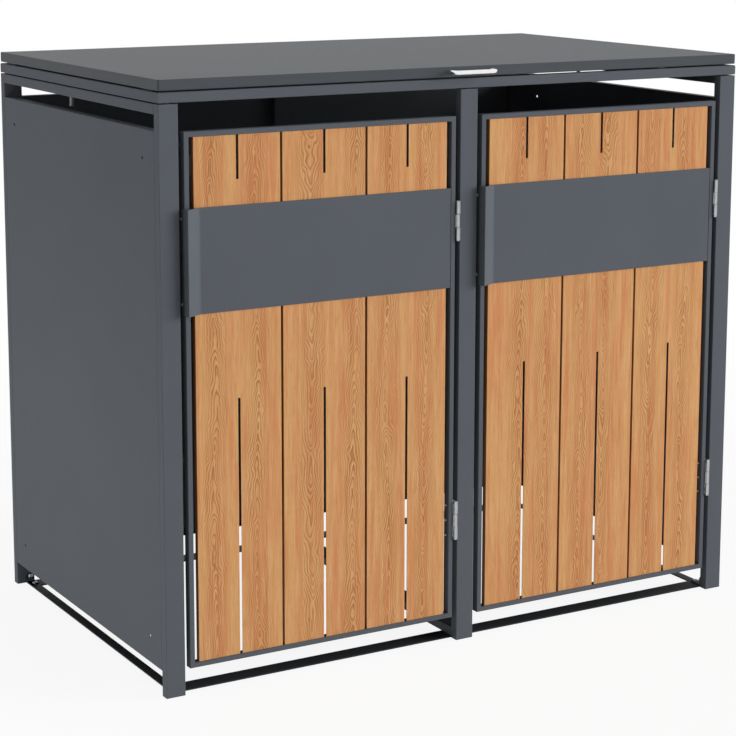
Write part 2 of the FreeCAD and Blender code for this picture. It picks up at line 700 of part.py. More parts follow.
def make_lid():
    inner_length = "store_width - 2 * lid_sheet"
    inner_width = "store_depth - 2 * lid_sheet"
    inner_height = "lid_height - 2 * lid_sheet"
    inside = "lid_sheet"
    tray = box("lid_outer", "0", "0", lid_bottom, "store_width", "store_depth", "lid_height")
    space = box("lid_space", inside, inside, f"{lid_bottom} + {inside}", inner_length, inner_width, inner_height)
    mouth_length = "store_width - 2 * lid_lip"
    mouth_width = "store_depth - 2 * lid_lip"
    mouth = box("lid_mouth", "lid_lip", "lid_lip", lid_bottom, mouth_length, mouth_width, inside)
    nodes["lid_tray"] = cut("lid_folded", tray, fuse("lid_hollow", [space, mouth]))
    rib_z = f"({lid_top} - lid_sheet - rib_height)"
    centres = {"left": "rib_centre", "middle": "store_width / 2", "right": "(store_width - rib_centre)"}
    ribs = []
    for name, centre in centres.items():
        x = f"{centre} - rib_width / 2"
        ribs.append(tube("rib_" + name, "y", x, inside, rib_z, "rib_width", inner_width, "rib_height"))
    nodes["lid_ribs"] = group("rib_group", ribs)
    guides = []
    for side in ("left", "right"):
        guides.append(make_guide("guide_" + side, centres[side], rib_z))
    nodes["lid_guide_pins"] = group("guide_group", guides)


def make_guide(name, x, top):
    stem_length = "(guide_length - tip_height)"
    stem = rod(name + "_stem", "-z", x, "guide_back", top, "guide_radius", stem_length)
    tip = document.addObject("Part::Cone", name + "_tip")
    tip.Placement = FreeCAD.Placement(FreeCAD.Vector(), turns["-z"])
    bind(tip, "Radius1", "guide_radius")
    bind(tip, "Radius2", "tip_radius")
    bind(tip, "Height", "tip_height")
    place(tip, x, "guide_back", f"{top} - {stem_length}")
    return fuse(name, [stem, tip])


def make_handle():
    bar_y = "(handle_radius - handle_reach)"
    leg_length = "handle_reach - handle_radius - handle_bend"
    first_x = "((store_width - handle_width) / 2 + handle_radius)"
    last_x = "((store_width + handle_width) / 2 - handle_radius)"
    start = f"({first_x} + handle_bend)"
    end = f"({last_x} - handle_bend)"
    straight = "handle_width - 2 * handle_radius - 2 * handle_bend"
    members = [rod("handle_bar", "+x", start, bar_y, lid_middle, "handle_radius", straight)]
    screws = []
    for side, leg_x, bend_x, spin in (("left", first_x, start, 180), ("right", last_x, end, 270)):
        members.append(rod("handle_leg_" + side, "-y", leg_x, "0", lid_middle, "handle_radius", leg_length))
        bend = document.addObject("Part::Torus", "handle_bend_" + side)
        bend.Angle3 = 90
        bend.Placement = FreeCAD.Placement(FreeCAD.Vector(), FreeCAD.Rotation(FreeCAD.Vector(0, 0, 1), spin))
        bind(bend, "Radius1", "handle_bend")
        bind(bend, "Radius2", "handle_radius")
        place(bend, bend_x, f"{bar_y} + handle_bend", lid_middle)
        members.append(bend)
        through = ["lid_tray", "lid_handle"]
        depth = "lid_sheet + screw_grip"
        screws.append(screw(f"handle_{side}_screw", "+y", leg_x, "lid_sheet", lid_middle, through, depth))
    nodes["lid_handle"] = fuse("handle_bow", members)
    return screws


# Rubber pads on the top ring that carry the closed lid


def make_bumpers():
    pads = []
    for side, x in (("left", "bumper_inset"), ("right", "store_width - bumper_inset - bumper_width")):
        for row_name, y in (("front", "bumper_length"), ("back", "store_depth - 2 * bumper_length")):
            name = f"bumper_{row_name}_{side}"
            pads.append(box(name, x, y, ring_top, "bumper_width", "bumper_length", "lid_gap"))
    nodes["lid_bumpers"] = group("bumper_group", pads)


# Assembly, with a hole for every screw in the pieces that it goes through

make_posts()
make_top()
make_panels()
make_base()
bracket_screws = make_brackets()
post_hinge_screws, door_hinge_screws = make_door_hinges()
lid_hinge_screws = make_lid_hinges()
make_stops()
for door_side in bay_starts:
    make_door(door_side, door_hinge_screws[door_side])
make_lid()
handle_screws = make_handle()
make_bumpers()
nodes["frame_screws"] = group("frame_screw_group", bracket_screws + post_hinge_screws + lid_hinge_screws["ring"])
nodes["lid_screws"] = group("lid_screw_group", lid_hinge_screws["lid"] + handle_screws)

for label, thing in nodes.items():
    if label in screw_shanks:
        nodes[label] = cut(label + "_bored", thing, group(label + "_shanks", screw_shanks[label]))
    nodes[label].Label = label

document.recompute()

# Each object is sound, then one file for each sub-part

for thing in document.Objects:
    if "Invalid" in thing.State or "Error" in thing.State:
        raise RuntimeError(f"{thing.Name} did not build: {thing.State}")
for label, thing in nodes.items():
    if thing.Label != label or thing.Shape.isNull() or not thing.Shape.isValid() or not thing.Shape.Solids:
        raise RuntimeError(f"{label} has no valid solid of that name")

os.makedirs("parts", exist_ok=True)
for label, thing in nodes.items():
    thing.Shape.exportStep(f"parts/{label}.step")
print(len(nodes), "sub-parts written")
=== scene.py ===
import math
import bmesh
import bpy
from mathutils import Matrix, Vector


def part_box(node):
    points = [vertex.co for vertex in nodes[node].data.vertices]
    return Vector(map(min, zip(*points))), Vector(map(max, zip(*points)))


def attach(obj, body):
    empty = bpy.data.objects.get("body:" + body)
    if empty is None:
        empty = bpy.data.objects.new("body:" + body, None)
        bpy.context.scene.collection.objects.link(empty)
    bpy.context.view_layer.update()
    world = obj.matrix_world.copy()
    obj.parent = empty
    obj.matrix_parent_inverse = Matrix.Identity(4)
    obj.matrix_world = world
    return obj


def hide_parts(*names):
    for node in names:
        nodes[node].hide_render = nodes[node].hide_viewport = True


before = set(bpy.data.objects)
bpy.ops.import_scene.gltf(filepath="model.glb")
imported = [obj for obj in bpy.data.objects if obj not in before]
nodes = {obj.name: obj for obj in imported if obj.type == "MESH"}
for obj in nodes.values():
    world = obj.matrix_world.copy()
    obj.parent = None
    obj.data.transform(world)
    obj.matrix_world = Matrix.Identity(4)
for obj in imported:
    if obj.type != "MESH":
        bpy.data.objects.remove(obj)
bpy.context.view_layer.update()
print("frame loaded:", len(nodes), "nodes")

unit = {"x": Vector((1, 0, 0)), "y": Vector((0, 1, 0)), "z": Vector((0, 0, 1))}
axisNumber = {"x": 0, "y": 1, "z": 2}
near = 0.00001      # metres: places this close to each other count as one
weld = 0.000001     # metres: vertices this close to each other are merged
shoulder = 0.00001  # metres: length of the step where a turned piece changes its radius at once


# small tools for modelling by hand

def deselectAll():
    if bpy.context.object and bpy.context.object.mode != "OBJECT":
        bpy.ops.object.mode_set(mode="OBJECT")
    bpy.ops.object.select_all(action="DESELECT")


def selectOnly(*chosen):
    deselectAll()
    for piece in chosen:
        piece.select_set(True)
    bpy.context.view_layer.objects.active = chosen[0]


def nameNew(name):
    piece = bpy.context.object
    piece.name = piece.data.name = name
    bpy.ops.object.transform_apply(location=True, rotation=True, scale=True)
    return piece


def startBlock(name, low, high):
    deselectAll()
    low, high = Vector(low), Vector(high)
    bpy.ops.mesh.primitive_cube_add(size=1, location=(low + high) / 2, scale=high - low)
    return nameNew(name)


def openEdit(piece, kind="EDGE"):
    selectOnly(piece)
    bpy.ops.object.mode_set(mode="EDIT")
    bpy.ops.mesh.select_mode(type=kind)
    bpy.ops.mesh.select_all(action="DESELECT")


def closeEdit():
    bpy.ops.object.mode_set(mode="OBJECT")


def takeAll():
    bpy.ops.mesh.select_all(action="SELECT")


def turnOutwards():
    takeAll()
    bpy.ops.mesh.normals_make_consistent(inside=False)


def extrude(x, y, z):
    bpy.ops.mesh.extrude_region_move(TRANSFORM_OT_translate={"value": (x, y, z)})


def bevelEdges(width, segments=4):
    bpy.ops.mesh.bevel(offset=width, segments=segments, affect="EDGES")


def pick(kind, test):
    groups = {"VERT": "verts", "EDGE": "edges", "FACE": "faces"}
    bpy.ops.mesh.select_mode(type=kind)
    bpy.ops.mesh.select_all(action="DESELECT")
    data = bpy.context.object.data
    mesh = bmesh.from_edit_mesh(data)
    for item in getattr(mesh, groups[kind]):
        if test(item):
            item.select_set(True)
    mesh.select_flush_mode()
    bmesh.update_edit_mesh(data)


def runsAlong(edge, axis):
    way = (edge.verts[1].co - edge.verts[0].co).normalized()
    return abs(way.dot(unit[axis])) > 0.999


def looks(face, axis, sense=0):
    turn = face.normal.dot(unit[axis])
    return turn * sense > 0.999 if sense else abs(turn) > 0.999


def spot(item):
    return sum((vert.co for vert in item.verts), Vector()) / len(item.verts)


def useModifier(piece, kind, **choices):
    selectOnly(piece)
    bpy.ops.object.modifier_add(type=kind)
    modifier = piece.modifiers[-1]
    for key, value in choices.items():
        setattr(modifier, key, value)
    bpy.ops.object.modifier_apply(modifier=modifier.name)


def softenEdges(piece, width, segments=2, limit=40):
    useModifier(piece, "BEVEL", width=width, segments=segments, limit_method="ANGLE",
                angle_limit=math.radians(limit), use_clamp_overlap=True)


# gives a sheet its thickness, on the side away from its normals or along them
def thicken(piece, sheet, along=False):
    useModifier(piece, "SOLIDIFY", thickness=sheet, offset=1.0 if along else -1.0, use_even_offset=True)


def shadePiece(piece, angle=50):
    selectOnly(piece)
    bpy.ops.object.shade_smooth_by_angle(angle=math.radians(angle))
    useModifier(piece, "WEIGHTED_NORMAL", keep_sharp=True, weight=100)


def cutAway(piece, cutters):
    selectOnly(*cutters)
    if len(cutters) > 1:
        bpy.ops.object.join()
    cutter = bpy.context.object
    useModifier(piece, "BOOLEAN", operation="DIFFERENCE", solver="EXACT", object=cutter)
    bpy.data.objects.remove(cutter)


def joinPieces(name, pieces):
    selectOnly(*pieces)
    if len(pieces) > 1:
        bpy.ops.object.join()
    piece = bpy.context.object
    piece.name = piece.data.name = name
    return piece


def copyPiece(piece, name, change):
    selectOnly(piece)
    bpy.ops.object.duplicate()
    copy = bpy.context.object
    copy.name = copy.data.name = name
    copy.data.transform(change)
    return copy


# a round piece like lathe work: each step goes on by some length and takes a new radius
def turnedPiece(name, start, direction, steps, sides=24):
    deselectAll()
    way = Vector(direction).normalized()
    tilt = way.to_track_quat("Z", "Y").to_euler()
    centre = Vector(start)
    radius = steps[0][1]
    bpy.ops.mesh.primitive_circle_add(vertices=sides, radius=radius, fill_type="NGON", location=centre,
                                      rotation=tilt)
    piece = nameNew(name)
    openEdit(piece, "FACE")
    takeAll()
    for advance, nextRadius in steps[1:]:
        centre = centre + way * advance
        extrude(*(way * advance))
        if nextRadius != radius:
            bpy.ops.transform.resize(value=(nextRadius / radius,) * 3, center_override=centre)
        radius = nextRadius
    turnOutwards()
    closeEdit()
    return piece


# lowest and highest corner and all the points of each solid of a CAD node
def solidBoxes(node):
    mesh = bmesh.new()
    mesh.from_mesh(nodes[node].data)
    bmesh.ops.remove_doubles(mesh, verts=mesh.verts, dist=weld)
    seen, boxes = set(), []
    for first in mesh.verts:
        if first in seen:
            continue
        island, waiting = [], [first]
        seen.add(first)
        while waiting:
            vert = waiting.pop()
            island.append(vert.co.copy())
            for edge in vert.link_edges:
                other = edge.other_vert(vert)
                if other not in seen:
                    seen.add(other)
                    waiting.append(other)
        low = Vector([min(point[k] for point in island) for k in range(3)])
        high = Vector([max(point[k] for point in island) for k in range(3)])
        boxes.append((low, high, island))
    mesh.free()
    return sorted(boxes, key=lambda entry: tuple(round(value, 4) for value in entry[0]))


def dress(piece, body, slotName, material, *standsFor):
    piece.data.materials.clear()
    piece.data.materials.append(material)
    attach(piece, body)
    if standsFor:
        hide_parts(*standsFor)


def camelName(node):
    words = node.split("_")
    return words[0] + "".join(word.capitalize() for word in words[1:])


# builds a part over each solid of a CAD node, and joins and dresses them as one piece
def dressSolids(node, body, slotName, material, build, smoothAngle=None):
    parts = []
    for low, high, _ in solidBoxes(node):
        parts.append(build("part" + str(len(parts)), low, high))
    piece = joinPieces(camelName(node), parts)
    if smoothAngle:
        shadePiece(piece, smoothAngle)
    dress(piece, body, slotName, material, node)


# finishes: scales are in cells per metre, and the distances of reliefs in metres

class Recipe:
    def __init__(self, name):
        self.material = bpy.data.materials.new(name)
        self.material.use_nodes = True
        self.tree = self.material.node_tree
        self.shader = self.tree.nodes["Principled BSDF"]
        self.place = self.tree.nodes.new("ShaderNodeTexCoord").outputs["Object"]

    def add(self, kind, **choices):
        node = self.tree.nodes.new("ShaderNode" + kind)
        for key, value in choices.items():
            setattr(node, key, value)
        return node

    def link(self, source, target):
        self.tree.links.new(source, target)

    def mapped(self, scale=(1, 1, 1), shift=(0, 0, 0), source=None):
        node = self.add("Mapping")
        self.link(source or self.place, node.inputs["Vector"])
        node.inputs["Location"].default_value = shift
        node.inputs["Scale"].default_value = scale
        return node.outputs["Vector"]

    def noise(self, vector, scale=1.0, detail=2.0, roughness=0.5):
        node = self.add("TexNoise")
        self.link(vector, node.inputs["Vector"])
        node.inputs["Scale"].default_value = scale
        node.inputs["Detail"].default_value = detail
        node.inputs["Roughness"].default_value = roughness
        return node.outputs["Fac"]

    def math(self, operation, first, second=0.0, third=None):
        node = self.add("Math", operation=operation)
        entries = [first, second] if third is None else [first, second, third]
        for number, value in enumerate(entries):
            if isinstance(value, bpy.types.NodeSocket):
                self.link(value, node.inputs[number])
            else:
                node.inputs[number].default_value = value
        return node.outputs[0]

    def span(self, value, fromLow, fromHigh, toLow=0.0, toHigh=1.0):
        node = self.add("MapRange", clamp=True)
        self.link(value, node.inputs["Value"])
        for key, number in (("From Min", fromLow), ("From Max", fromHigh), ("To Min", toLow), ("To Max", toHigh)):
            node.inputs[key].default_value = number
        return node.outputs["Result"]

    def blend(self, factor, first, second, way="MIX"):
        node = self.add("Mix", data_type="RGBA", blend_type=way)
        sockets = {"factor": node.inputs[0], "first": node.inputs[6], "second": node.inputs[7]}
        for key, value in (("factor", factor), ("first", first), ("second", second)):
            if isinstance(value, bpy.types.NodeSocket):
                self.link(value, sockets[key])
            else:
                sockets[key].default_value = value if key == "factor" else (*value, 1)
        return node.outputs[2]

    def ramp(self, value, stops):  # stops of grey, as (position, level)
        node = self.add("ValToRGB")
        self.link(value, node.inputs["Fac"])
        band = node.color_ramp
        while len(band.elements) < len(stops):
            band.elements.new(0.5)
        for element, (position, level) in zip(band.elements, stops):
            element.position = position
            element.color = (level, level, level, 1)
        return node.outputs["Color"]

    def relief(self, height, distance, strength=1.0, under=None):
        node = self.add("Bump")
        node.inputs["Distance"].default_value = distance
        node.inputs["Strength"].default_value = strength
        self.link(height, node.inputs["Height"])
        if under:
            self.link(under, node.inputs["Normal"])
        return node.outputs["Normal"]

    def gloss(self, level):
        self.shader.inputs["Specular IOR Level"].default_value = level

    def finish(self, colour, roughness, normal=None, metallic=0.0):
        self.link(colour, self.shader.inputs["Base Color"])
        self.link(roughness, self.shader.inputs["Roughness"])
        if normal:
            self.link(normal, self.shader.inputs["Normal"])
        self.shader.inputs["Metallic"].default_value = metallic
        return self.material


def toned(colour, factor):
    return tuple(value * factor for value in colour)


def powderCoat(name, colour, peel=1.0, gloss=0.1):
    recipe = Recipe(name)
    recipe.gloss(gloss)
    clouds = recipe.noise(recipe.mapped(), scale=5.5, detail=3, roughness=0.55)
    grains = recipe.noise(recipe.mapped(), scale=1300, detail=2, roughness=0.6)
    pebbles = recipe.noise(recipe.mapped(), scale=420, detail=3)
    tint = recipe.blend(recipe.span(clouds, 0.3, 0.7), toned(colour, 0.97), toned(colour, 1.03))
    fleck = recipe.blend(recipe.span(grains, 0.62, 0.8, 0.0, 0.35), tint, toned(colour, 1.5))
    shine = recipe.span(pebbles, 0.3, 0.7, 0.50, 0.60)
    skin = recipe.relief(pebbles, 0.00012 * peel, 0.55)
    skin = recipe.relief(grains, 0.00003 * peel, 0.5, skin)
    return recipe.finish(fleck, shine, skin)


# the sawn colour darkens each board's sides and slot walls, partly as painted shade of the gaps between boards
woodSettings = {
    "golden": (0.62, 0.333, 0.130), "russet": (0.585, 0.236, 0.096), "tan": (0.68, 0.408, 0.187),
    "grain": (0.35, 0.14, 0.045), "fibre": (0.74, 0.66, 0.57), "pore": (0.29, 0.12, 0.045),
    "sawn": (0.46, 0.36, 0.27), "gloss": 0.3,
    "cells": {  # sizes of the noises across, into and along the board
        "wander": (4, 4, 2.4), "ripple": (26, 26, 17), "patches": (30, 30, 6), "streaks": (135, 135, 6.5),
        "bands": (58, 58, 2.6), "lines": (300, 300, 22), "fibres": (1100, 1100, 16), "pores": (820, 820, 46)},
    "rings": ((0.0, 0.0), (0.3, 0.05), (0.72, 0.85), (0.84, 1.0), (1.0, 0.0)),  # pale early wood, dark late wood
    "pithDepth": 0.003, "sway": 0.045, "waver": 0.030, "archFade": (0.010, 0.033),
    "frontCut": (0.0007, 0.0024), "backCut": (0.0108, 0.0118)}  # depths where the darkened sawn sides, partly painted shade, start and end


def boardWood(name, look):
    recipe = Recipe(name)
    recipe.gloss(woodSettings["gloss"])
    board = recipe.mapped(shift=look["shift"])

    def cells(kind, detail, roughness=0.5):
        return recipe.noise(recipe.mapped(woodSettings["cells"][kind], source=board), 1.0, detail, roughness)

    wander, ripple, patches = cells("wander", 1), cells("ripple", 2), cells("patches", 3, 0.6)
    parts = recipe.add("SeparateXYZ")
    recipe.link(board, parts.inputs[0])
    across, deep, along = parts.outputs
    swayed = recipe.math("MULTIPLY_ADD", recipe.math("SUBTRACT", wander, 0.5), woodSettings["sway"], across)
    thick = recipe.math("ADD", deep, woodSettings["pithDepth"])
    lean = recipe.math("MULTIPLY", recipe.math("SUBTRACT", ripple, 0.5), woodSettings["waver"])
    figure = None
    for offset, slope in look["spines"]:  # growth rings cut near the pith: arches stacked along the board
        side = recipe.math("SUBTRACT", swayed, offset)
        arch = recipe.math("SQRT", recipe.math("MULTIPLY_ADD", side, side, recipe.math("MULTIPLY", thick, thick)))
        reach = recipe.math("ADD", recipe.math("MULTIPLY_ADD", along, slope, arch), lean)
        cycle = recipe.math("FRACT", recipe.math("DIVIDE", reach, look["ringWidth"]))
        rings = recipe.math("MULTIPLY", recipe.ramp(cycle, woodSettings["rings"]),
                            recipe.span(arch, *woodSettings["archFade"], 1.0, 0.10))
        figure = rings if figure is None else recipe.math("MAXIMUM", figure, rings)
    streaks, bands, lines = cells("streaks", 3, 0.6), cells("bands", 2), cells("lines", 2, 0.6)
    fibres, pores = cells("fibres", 3, 0.65), cells("pores", 1)
    ground = recipe.blend(recipe.span(bands, 0.38, 0.62), woodSettings["golden"], woodSettings["russet"])
    ground = recipe.blend(recipe.span(streaks, 0.42, 0.7, 0.0, 0.8), ground, woodSettings["tan"])
    ground = recipe.blend(recipe.span(lines, 0.5, 0.72, 0.0, 0.34), ground, woodSettings["grain"])
    marked = recipe.math("MULTIPLY", figure, recipe.span(patches, 0.34, 0.60, 0.42, 1.0))
    ground = recipe.blend(marked, ground, woodSettings["grain"])
    ground = recipe.blend(recipe.span(fibres, 0.32, 0.7, 0.0, 0.35), ground, woodSettings["fibre"], "MULTIPLY")
    ground = recipe.blend(recipe.span(pores, 0.66, 0.78, 0.0, 0.4), ground, woodSettings["pore"])
    # painted shade: darkens the board's sides and slot walls, deeper than the front face, where the gaps between
    # boards lie in shade
    sideShadeMask = recipe.math("MULTIPLY", recipe.span(deep, *woodSettings["frontCut"]),
                         recipe.span(deep, *woodSettings["backCut"], 1.0, 0.0))
    ground = recipe.blend(sideShadeMask, ground, woodSettings["sawn"], "MULTIPLY")  # sawn sides take a little more oil, and are also darkened as painted shade of the gaps between boards and of the slots
    shine = recipe.span(fibres, 0.3, 0.7, 0.5, 0.66)
    tooth = recipe.relief(fibres, 0.0003, 0.5)
    tooth = recipe.relief(figure, 0.0002, 0.3, tooth)
    return recipe.finish(ground, shine, tooth)


def zincSteel(name, colour, grain=(600, 600, 40), dull=0.0):
    recipe = Recipe(name)
    brush = recipe.noise(recipe.mapped(grain), detail=3, roughness=0.6)
    bloom = recipe.noise(recipe.mapped(), scale=180)
    tint = recipe.blend(recipe.span(bloom, 0.35, 0.65), toned(colour, 0.86), colour)
    shine = recipe.span(brush, 0.3, 0.7, 0.30 + dull, 0.44 + dull)
    return recipe.finish(tint, shine, recipe.relief(brush, 0.00002, 0.5), metallic=1.0)


def chromePlate(name, colour):
    recipe = Recipe(name)
    haze = recipe.noise(recipe.mapped(), scale=90, detail=3, roughness=0.6)
    wipe = recipe.noise(recipe.mapped((30, 500, 500)))
    tint = recipe.blend(recipe.span(haze, 0.4, 0.7), colour, toned(colour, 0.95))
    shine = recipe.span(wipe, 0.3, 0.7, 0.10, 0.17)
    return recipe.finish(tint, shine, recipe.relief(haze, 0.000004, 0.3), metallic=1.0)


def mouldedPlastic(name, colour, grainSize, smoothest, roughest):
    recipe = Recipe(name)
    grain = recipe.noise(recipe.mapped(), scale=grainSize, detail=2, roughness=0.6)
    tint = recipe.blend(recipe.span(grain, 0.3, 0.7), colour, toned(colour, 1.5))
    shine = recipe.span(grain, 0.3, 0.7, smoothest, roughest)
    return recipe.finish(tint, shine, recipe.relief(grain, 0.00008, 0.5))


# the base colour is painted shade: a darker copy of the frame colour for the shaded bars on the ground
paint = {"frame": (0.093, 0.103, 0.118), "panel": (0.093, 0.103, 0.118), "lid": (0.061, 0.068, 0.076),
         "base": (0.034, 0.037, 0.041)}
framePaint = powderCoat("framePowderCoat", paint["frame"])
panelPaint = powderCoat("panelPowderCoat", paint["panel"], 0.8)
# painted shade: the frame's powder coat, darkened for the bars on the ground
shadedBasePaint = powderCoat("shadedBasePowderCoat", paint["base"])
lidPaint = powderCoat("lidPowderCoat", paint["lid"], 0.8, 0.23)
hingeSteel = zincSteel("hingeZinc", (0.52, 0.53, 0.55), dull=0.08)
guideSteel = zincSteel("guideZinc", (0.24, 0.245, 0.25), dull=0.12)
screwSteel = zincSteel("screwZinc", (0.55, 0.56, 0.58), (700, 700, 700))
handleChrome = chromePlate("handleChrome", (0.86, 0.87, 0.88))
# black plastic for the plugs; on the ring washers the black also paints the shadow line under the ring
blackPlasticAndShadowLine = mouldedPlastic("plugPlasticAndShadowLine", (0.018, 0.018, 0.019), 900, 0.5, 0.65)
blackRubber = mouldedPlastic("padRubber", (0.02, 0.02, 0.02), 500, 0.7, 0.85)
print("finishes mixed")


# camera, floor and studio light

cameraSettings = {"lens": 103.1, "sensor": 36, "place": (-2.2821, -3.9363, 1.5208),
                  "turn": (80.355, -0.089, -30.061), "shift": (0.0, -0.15), "sight": 60}
bpy.ops.object.camera_add(location=cameraSettings["place"],
                          rotation=[math.radians(angle) for angle in cameraSettings["turn"]])
camera = bpy.context.object
camera.name = "photoCamera"
camera.data.lens = cameraSettings["lens"]
camera.data.sensor_width = cameraSettings["sensor"]
camera.data.shift_x, camera.data.shift_y = cameraSettings["shift"]
camera.data.clip_end = cameraSettings["sight"]
bpy.context.scene.camera = camera
bpy.context.scene.view_settings.view_transform = "Standard"

studio = {"floorSize": 40, "floorDrop": 0.0006, "floorColours": ((0.93, 0.93, 0.93), (0.94, 0.94, 0.94)),
          "floorGlow": 0.9, "fullGlow": (1.4, 3.2), "skyLevel": 0.33}  # the glow is full beyond 3.2 m
lamps = {"keyLamp": {"place": (20.8, -12.0, 4.6), "aim": (0, 0, 0.6), "size": (14.0, 14.0), "power": 8400},
         "stripLamp": {"place": (-1.8, 0.0, 0.12), "aim": (-0.7, 0, 0.12), "size": (1.8, 0.2), "power": 5.5},
         "topLamp": {"place": (-0.5, 1.0, 4.6), "aim": (0, 0, 1.1), "size": (3.4, 3.4), "power": 30}}


# 1 for rays of any of these kinds, and 0 for all others
def raysOf(tree, *kinds):
    path = tree.nodes.new("ShaderNodeLightPath")
    mask = path.outputs[kinds[0]]
    for kind in kinds[1:]:
        either = tree.nodes.new("ShaderNodeMath")
        either.operation = "MAXIMUM"
        tree.links.new(mask, either.inputs[0])
        tree.links.new(path.outputs[kind], either.inputs[1])
        mask = either.outputs[0]
    return mask


def whiteLight(tree, kind, strength):
    node = tree.nodes.new(kind)
    node.inputs["Color"].default_value = (1, 1, 1, 1)
    node.inputs["Strength"].default_value = strength
    return node.outputs[0]


def mixInto(tree, target, factor, first, second):
    mixer = tree.nodes.new("ShaderNodeMixShader")
    for number, source in enumerate((factor, first, second)):
        tree.links.new(source, mixer.inputs[number])
    tree.links.new(mixer.outputs[0], target)


deselectAll()
bpy.ops.mesh.primitive_plane_add(size=studio["floorSize"], location=(0, 0, -studio["floorDrop"]))
floor = nameNew("studioFloor")
floorLook = Recipe("studioFloorLook")
floorLook.gloss(0.0)
mist = floorLook.noise(floorLook.mapped(), scale=0.6)
pale = floorLook.blend(floorLook.span(mist, 0.3, 0.7), *studio["floorColours"])
floorLook.finish(pale, floorLook.span(mist, 0, 1, 0.9, 1.0))
reachOut = floorLook.add("VectorMath", operation="LENGTH")
floorLook.link(floorLook.place, reachOut.inputs[0])
away = floorLook.span(reachOut.outputs["Value"], *studio["fullGlow"], studio["floorGlow"], 1.0)
watched = floorLook.math("MULTIPLY", away, raysOf(floorLook.tree, "Is Camera Ray", "Is Glossy Ray"))
mixInto(floorLook.tree, floorLook.tree.nodes["Material Output"].inputs["Surface"], watched,
        floorLook.shader.outputs[0], whiteLight(floorLook.tree, "ShaderNodeEmission", 1.0))
floor.data.materials.append(floorLook.material)
for lampName, lamp in lamps.items():
    way = Vector(lamp["aim"]) - Vector(lamp["place"])
    bpy.ops.object.light_add(type="AREA", location=lamp["place"], rotation=way.to_track_quat("-Z", "Y").to_euler())
    light = bpy.context.object
    light.name = lampName
    light.data.shape = "RECTANGLE"
    light.data.size, light.data.size_y = lamp["size"]
    light.data.energy = lamp["power"]
    light.visible_camera = False
    light.visible_glossy = False  # gloss comes from the white floor and sky alone
world = bpy.data.worlds.new("studioSky")
bpy.context.scene.world = world
world.use_nodes = True
sky = world.node_tree
sky.nodes.clear()
skyOutput = sky.nodes.new("ShaderNodeOutputWorld")
mixInto(sky, skyOutput.inputs[0], raysOf(sky, "Is Camera Ray", "Is Glossy Ray", "Is Transmission Ray"),
        whiteLight(sky, "ShaderNodeBackground", studio["skyLevel"]), whiteLight(sky, "ShaderNodeBackground", 1.0))
print("camera, floor and lamps set")


# tubes of the frame

tubeSettings = {"wall": 0.0015, "postRound": 0.0010, "ringRound": 0.0022, "doorRound": 0.0008, "segments": 3}


def roundedBlock(name, low, high, axis, rounding):
    piece = startBlock(name, low, high)
    openEdit(piece)
    pick("EDGE", lambda edge: runsAlong(edge, axis))
    bevelEdges(rounding, tubeSettings["segments"])
    return piece


def openTube(name, low, high, axis, rounding):
    piece = roundedBlock(name, low, high, axis, rounding)
    pick("FACE", lambda face: looks(face, axis))
    bpy.ops.mesh.inset(thickness=tubeSettings["wall"])
    bpy.ops.mesh.bridge_edge_loops()
    turnOutwards()
    closeEdit()
    shadePiece(piece)
    return piece


def mitredTube(name, low, high, axis, rounding, inwards):
    piece = roundedBlock(name, low, high, axis, rounding)
    for point, normal in mitreCuts(low, high, axis, inwards):
        takeAll()
        bpy.ops.mesh.bisect(plane_co=point, plane_no=normal, use_fill=True, clear_outer=True)
    closeEdit()
    shadePiece(piece)
    return piece


# two 45 degree cuts at the ends of a bar; inwards is the way from its outer edge to the frame's middle
def mitreCuts(low, high, along, inwards):
    a, b = axisNumber[along], axisNumber[inwards[1]]
    outer = low if inwards[0] > 0 else high
    cuts = []
    for end, sense in ((low, -1), (high, 1)):
        point = Vector(low)
        point[a], point[b] = end[a], outer[b]
        normal = Vector((0, 0, 0))
        normal[a], normal[b] = sense, inwards[0]
        cuts.append((point, normal))
    return cuts


for node in ("post_front_left", "post_front_middle", "post_front_right", "post_back_left", "post_back_middle",
             "post_back_right"):
    low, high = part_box(node)
    post = openTube(camelName(node), low, high, "z", tubeSettings["postRound"])
    dress(post, "carcass", "frame_paint", framePaint, node)
for node, along, inwards in (("ring_front", "x", (1, "y")), ("ring_back", "x", (-1, "y")),
                             ("ring_left", "y", (1, "x")), ("ring_right", "y", (-1, "x"))):
    low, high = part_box(node)
    bar = mitredTube(camelName(node), low, high, along, tubeSettings["ringRound"], inwards)
    dress(bar, "carcass", "frame_paint", framePaint, node)
for node, along in (("side_rail_left", "y"), ("side_rail_right", "y"), ("back_rail_left", "x"),
                    ("back_rail_right", "x"), ("base_tube_middle", "y")):
    low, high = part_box(node)
    bar = openTube(camelName(node), low, high, along, tubeSettings["ringRound"])
    dress(bar, "carcass", "frame_paint", framePaint, node)
print("posts, ring and rails made")


# base bars and their corner brackets

baseSettings = {"barEdge": 0.0006, "bracketSheet": 0.003, "bracketBend": 0.0035, "bracketCorner": 0.003,
                "bracketEdge": 0.0004}
for node in ("base_flat_front", "base_flat_back", "base_flat_left", "base_flat_right"):
    low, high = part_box(node)
    bar = startBlock(camelName(node), low, high)
    openEdit(bar)
    takeAll()
    bevelEdges(baseSettings["barEdge"], 2)
    closeEdit()
    shadePiece(bar)
    dress(bar, "carcass", "frame_paint", shadedBasePaint, node)  # painted shade: a darker copy of the frame paint stands in for the shade under the store, so the bars on the ground look nearly black
